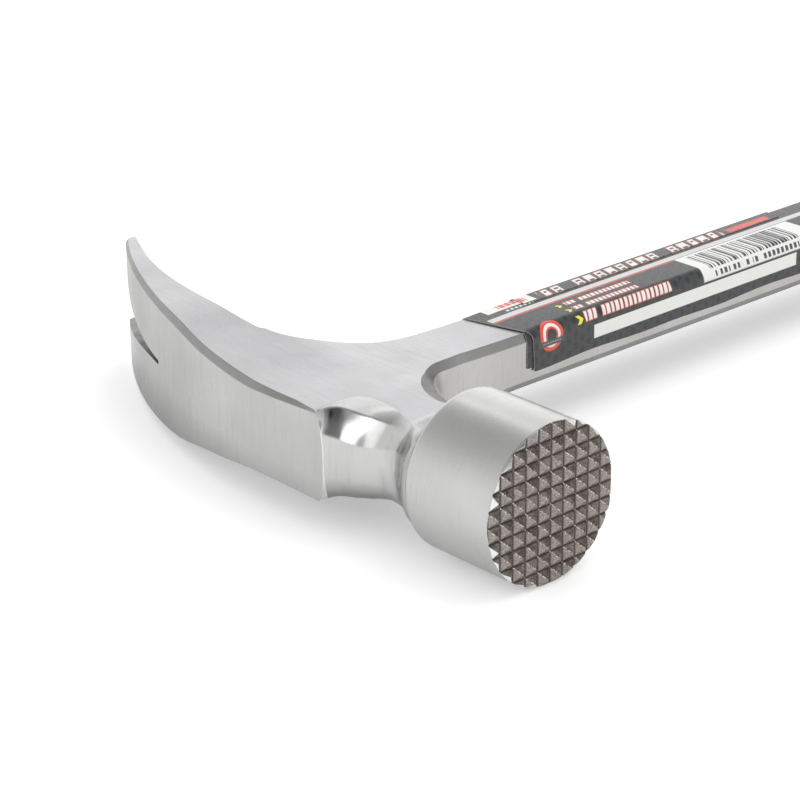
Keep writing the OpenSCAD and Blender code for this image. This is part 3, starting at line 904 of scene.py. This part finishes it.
# the print, laid out in millimetres: u along the shank from the near end, v round the card
printed, tree, place, surface = shader("printed_card", Roughness=0.27, Specular_IOR_Level=0.65)
u = add(tree, "ShaderNodeSeparateXYZ", tree.nodes.new("ShaderNodeUVMap").outputs[0])
v = u.node.outputs["Y"]


def off(socket, centre):
    """Distance from a line of the print."""
    return calc(tree, "ABSOLUTE", calc(tree, "SUBTRACT", socket, centre))


def block(u0, u1, v0, v1, soft=0.12):
    """One inside a rectangle of the print, and nothing outside it."""
    du = calc(tree, "SUBTRACT", (u1 - u0) / 2, off(u, (u0 + u1) / 2))
    dv = calc(tree, "SUBTRACT", (v1 - v0) / 2, off(v, (v0 + v1) / 2))
    return ramp(tree, calc(tree, "MINIMUM", du, dv), -soft / 2, soft / 2)


def disc(u0, v0, radius):
    spot = add(tree, "ShaderNodeCombineXYZ", u, v)
    far = add(tree, "ShaderNodeVectorMath", spot, (u0, v0, 0), operation="DISTANCE")
    return ramp(tree, far.node.outputs["Value"], radius + 0.06, radius - 0.06)


def every(pitch, share, soft=0.12):
    """Stripes along the print at a pitch, of which a share is inked."""
    half = pitch * share / 2
    return ramp(tree, calc(tree, "PINGPONG", u, pitch / 2), half + soft / 2, half - soft / 2)


def cells(socket, pitch):
    """A random value for each cell at a pitch along the print, and the place within it."""
    step = calc(tree, "DIVIDE", socket, pitch)
    cell = calc(tree, "FLOOR", step)
    luck = add(tree, "ShaderNodeTexWhiteNoise", None, cell, noise_dimensions="1D")
    return luck, calc(tree, "FRACT", step)


def both(a, b):
    return calc(tree, "MULTIPLY", a, b)


ink, paper, silver = (0.03, 0.032, 0.035), (0.8, 0.8, 0.77), (0.62, 0.62, 0.61)
red, pink, amber = (0.72, 0.07, 0.04), (0.62, 0.12, 0.07), (0.85, 0.75, 0.03)

# dark mesh: two square lattices of dots, one set between the other
dots = []
for half in (0.0, 0.5):
    du = calc(tree, "PINGPONG", calc(tree, "ADD", u, 4.0 * half), 2.0)
    dv = calc(tree, "PINGPONG", calc(tree, "ADD", v, 2.8 * half), 1.4)
    in_mesh = add(tree, "ShaderNodeCombineXYZ", du, calc(tree, "MULTIPLY", dv, 0.8))
    away = add(tree, "ShaderNodeVectorMath", in_mesh, operation="LENGTH").node.outputs["Value"]
    dots.append(ramp(tree, away, 0.75, 0.5))
tone = blend(tree, calc(tree, "MAXIMUM", *dots), ink, (0.012, 0.012, 0.013))

# layers of (where, ink) go over it: silver and red stripes along the top, and a white block
# with strokes at the near end
layers = [
    (block(0.4, 130, 17.5, 19.3), silver),
    (block(0.4, 57, 16.9, 17.35), red),
    (block(3, 16.9, 21.5, 28), paper),
    (both(block(7, 15, 22.3, 24.4), every(1.7, 0.8)), red),
    (both(block(7, 15.5, 20.1, 20.8), every(1.3, 0.6)), paper),
]

# rows of letter-like strokes as (from, to, foot, head, pitch); the tall ones have counters
for u0, u1, v0, v1, pitch in (
    (19, 78, 20.5, 24.3, 3.4), (19.4, 39.3, 14.0, 15.4, 1.25),
    (18.9, 38.7, 10.9, 12.3, 1.25), (19.3, 46.4, 7.4, 9.4, 1.4),
):
    lean = calc(tree, "ADD", u, calc(tree, "MULTIPLY", v, -0.25))
    luck, within = cells(lean, pitch)
    kept = calc(tree, "LESS_THAN", luck, 0.84)
    stroke = calc(tree, "MULTIPLY", ramp(tree, luck, 0.0, 0.84, 0.5, 0.72), 0.5)
    inside = calc(tree, "MULTIPLY", calc(tree, "SUBTRACT", stroke, off(within, 0.5)), pitch)
    holes = 0.0
    if pitch > 3:
        low_hole = block(u0, u1, mix(v0, v1, 0.2), mix(v0, v1, 0.42))
        low_hole = both(low_hole, calc(tree, "GREATER_THAN", luck, 0.3))
        high_hole = block(u0, u1, mix(v0, v1, 0.6), mix(v0, v1, 0.82))
        high_hole = both(high_hole, calc(tree, "LESS_THAN", luck, 0.6))
        holes = calc(tree, "MAXIMUM", low_hole, high_hole)
        holes = both(holes, ramp(tree, inside, pitch * 0.1, pitch * 0.15))
    for colour, grow in ((pink, 0.18), (paper, 0.0)):
        letters = both(ramp(tree, inside, -0.08 - grow, 0.08 - grow), kept)
        letters = calc(tree, "SUBTRACT", letters, holes)
        row = block(u0 - grow, u1 + grow, v0 - grow, v1 + grow)
        layers.append((both(row, letters), colour))
layers.append((block(80, 94, 21.2, 23.4, 1.0), red))

# an arrowhead before each of the three lower rows
for u0, v0, size in ((17.5, 14.5, 0.7), (17.4, 11.3, 0.7), (17.8, 8.1, 0.9)):
    across = off(v, v0)
    along = calc(tree, "ADD", calc(tree, "SUBTRACT", u, u0), across)
    arrow = ramp(tree, along, size + 0.06, size - 0.06)
    arrow = both(arrow, ramp(tree, along, -size * 0.3, -size * 0.2))
    layers.append((both(arrow, ramp(tree, across, size + 0.06, size - 0.06)), amber))

# the code: a white panel with bars of uneven width and a broken row below them
luck, within = cells(u, 1.1)
bars = calc(tree, "SUBTRACT", ramp(tree, luck, 0.0, 1.0, 0.25, 0.9), within)
broken = both(every(1.5, 0.62), ramp(tree, luck, 0.1, 0.12))
layers += [
    (block(57, 95.5, 6.6, 17.3, 0.3), paper),
    (both(block(60, 90.5, 9.0, 16.5), ramp(tree, bars, -0.05, 0.05)), (0.05, 0.05, 0.06)),
    (both(block(61, 90, 7.1, 8.3), broken), (0.06, 0.06, 0.07)),
]

# the white strip along the front, and a badge of rings crossed by a dark ribbon
layers.append((block(21.7, 88.8, 2.9, 6.0), paper))
for radius, colour in ((3.4, red), (2.55, paper), (1.85, red), (1.4, ink)):
    layers.append((disc(8.8, 7.0, radius), colour))
layers += [
    (block(5.0, 12.8, 4.9, 6.2, 0.3), (0.06, 0.06, 0.065)),
    (both(block(6.2, 11.6, 5.4, 5.75), every(0.7, 0.6, 0.2)), (0.3, 0.3, 0.31)),
]
for inked, colour in layers:
    tone = blend(tree, inked, tone, colour)
tree.links.new(tone, surface.inputs["Base Color"])

# the laminate over the print is puckered along the mesh
laminate = add(tree, "ShaderNodeBump", 1.0, 2e-5, None, noise(tree, in_mesh, 160, 2))
tree.links.new(laminate, surface.inputs["Normal"])

# the bare board at the card's cut edges and inside
board, tree, place, surface = shader("card_edge", Roughness=0.85)
fibre = noise(tree, place, 3000, 4)
tone = blend(tree, fibre, (0.3, 0.29, 0.28), (0.5, 0.49, 0.47))
tree.links.new(tone, surface.inputs["Base Color"])
wrapper.data.materials.append(printed)
wrapper.data.materials.append(board)
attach(wrapper, "root")
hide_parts("label")


# ---- Floor and light ----------------------------------------------------
# A pale floor runs on into a white background. A broad lamp overhead gives the soft
# shadow, and two small ones give the glints on the polished neck.

REACH, LIFT = 4, 0.27

floor_mesh = bpy.data.meshes.new("floor")
corners = [(-REACH, -REACH, 0), (REACH, -REACH, 0), (REACH, REACH, 0), (-REACH, REACH, 0)]
floor_mesh.from_pydata(corners, [], [(0, 1, 2, 3)])
floor = bpy.data.objects.new("floor", floor_mesh)
bpy.context.scene.collection.objects.link(floor)

paper_floor, tree, place, surface = shader("floor", Roughness=0.9, Specular_IOR_Level=0.0)
tone = blend(tree, noise(tree, place, 3, 2), (0.84, 0.84, 0.838), (0.86, 0.86, 0.86))
tree.links.new(tone, surface.inputs["Base Color"])
ray = tree.nodes.new("ShaderNodeLightPath").outputs
seen = calc(tree, "ADD", ray["Is Camera Ray"], calc(tree, "MULTIPLY", ray["Is Glossy Ray"], 0.3))
surface.inputs["Emission Color"].default_value = (1, 1, 1, 1)
tree.links.new(calc(tree, "MULTIPLY", seen, LIFT), surface.inputs["Emission Strength"])
floor_mesh.materials.append(paper_floor)

# the room is white, and what the steel mirrors of it is dimmer overhead, with soft darker
# parts and a brighter one as (direction, edge, core, depth)
world = bpy.context.scene.world or bpy.data.worlds.new("room")
bpy.context.scene.world = world
world.use_nodes = True
tree = world.node_tree
sky = tree.nodes["Background"]
sky.inputs[0].default_value = (1, 1, 1, 1)
toward = tree.nodes.new("ShaderNodeTexCoord").outputs["Generated"]
up = add(tree, "ShaderNodeSeparateXYZ", toward).node.outputs["Z"]
level = ramp(tree, up, 0.15, 0.9, 1.05, 0.55)
for centre, edge, core, depth in (
    ((-0.62, -0.17, 0.766), 0.8, 0.97, 0.1), ((0.30, -0.43, 0.85), 0.75, 0.93, 0.45),
    ((0.74, 0.20, 0.64), 0.85, 0.96, 0.35), ((-0.68, 0.60, 0.42), 0.8, 0.97, -0.3),
):
    near = add(tree, "ShaderNodeVectorMath", toward, centre, operation="DOT_PRODUCT")
    near = near.node.outputs["Value"]
    level = calc(tree, "SUBTRACT", level, ramp(tree, near, edge, core, 0.0, depth))
ray = tree.nodes.new("ShaderNodeLightPath").outputs
plain = calc(tree, "MAXIMUM", ray["Is Camera Ray"], ray["Is Diffuse Ray"])
tree.links.new(calc(tree, "MAXIMUM", level, plain), sky.inputs[1])

HEAD = Vector((0.03, -0.18, 0.02))


def lamp(name, azimuth, elevation, far, wide, high, power):
    """A soft lamp in a direction from the head, facing it."""
    light = bpy.data.lights.new(name, "AREA")
    light.shape, light.size, light.size_y, light.energy = "RECTANGLE", wide, high, power
    holder = bpy.data.objects.new(name, light)
    bpy.context.scene.collection.objects.link(holder)
    a, e = radians(azimuth), radians(elevation)
    toward = Vector((cos(e) * cos(a), cos(e) * sin(a), sin(e)))
    turn = (-toward).to_track_quat("-Z", "Y").to_matrix().to_4x4()
    holder.matrix_world = Matrix.Translation(HEAD + toward * far) @ turn
    return holder


lamp("overhead", 68, 62, 1.6, 1.3, 1.3, 4.5).visible_glossy = False
lamp("spark", 147, 42, 1.6, 0.26, 0.26, 0.09)
lamp("strip", -86, 35.5, 1.0, 0.32, 0.16, 0.5)
bpy.context.scene.view_settings.view_transform = "Standard"
